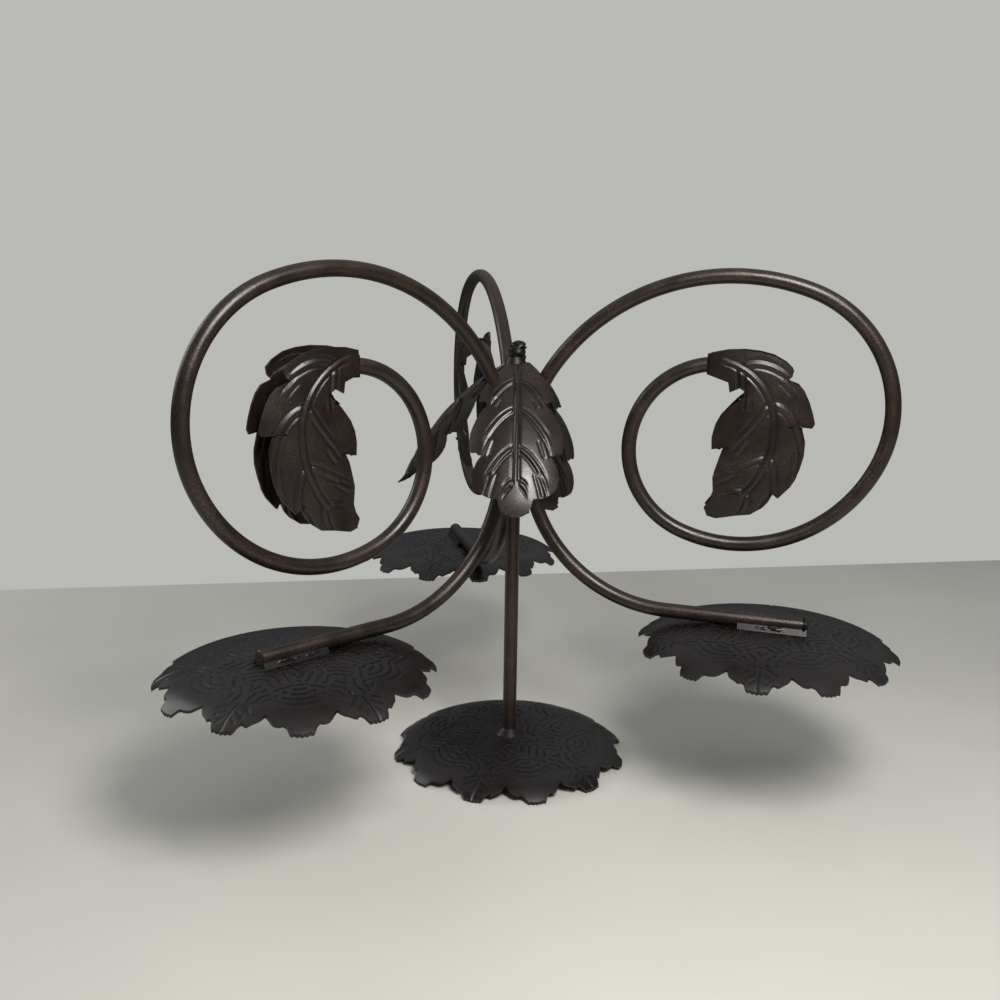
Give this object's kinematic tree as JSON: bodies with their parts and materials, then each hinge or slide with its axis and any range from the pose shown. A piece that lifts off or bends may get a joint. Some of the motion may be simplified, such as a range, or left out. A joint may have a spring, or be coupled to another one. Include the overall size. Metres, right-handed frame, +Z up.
{
  "type": "tiered candle holder",
  "caption": "Tiered candle stand of bent rod with scroll feet, leaf trim and scalloped dishes, shown standing upside down on its middle dish.",
  "frame": {"origin": "on the post's axis, at the underside of the middle dish's flat candle seat", "axes": "+Z up along the post, as pictured with the scroll feet up; -Y towards the viewer; the object stands on the middle dish's petal tips at z = -10.3 mm"},
  "size_m": [0.3767, 0.3749, 0.2841],
  "materials": {
    "rod_coat": "satin bronze-black powder coat with fine copper flecks",
    "dish_coat": "satin dark grey-brown powder coat over a fine embossed pattern",
    "leaf_coat": "satin red-brown powder coat over stamped veins",
    "weld_bead": "gloss black powder coat over a rough bead"
  },
  "bodies": {
    "root": {"centre_post": "rod_coat", "left_arm": "rod_coat", "right_arm": "rod_coat", "back_arm": "rod_coat", "centre_dish": "dish_coat", "left_dish": "dish_coat", "right_dish": "dish_coat", "back_dish": "dish_coat", "front_hub_leaf": "leaf_coat", "left_hub_leaf": "leaf_coat", "rear_hub_leaf": "leaf_coat", "left_scroll_leaf_front": "leaf_coat", "left_scroll_leaf_rear": "leaf_coat", "right_scroll_leaf_front": "leaf_coat", "right_scroll_leaf_rear": "leaf_coat", "back_scroll_leaf_front": "leaf_coat", "back_scroll_leaf_rear": "leaf_coat", "post_foot_weld": "weld_bead", "hub_weld": "weld_bead", "leaf_neck_weld": "weld_bead", "left_seat_weld": "weld_bead", "right_seat_weld": "weld_bead", "back_seat_weld": "weld_bead", "left_roll_weld": "weld_bead", "right_roll_weld": "weld_bead", "back_roll_weld": "weld_bead"}
  },
  "joints": []
}
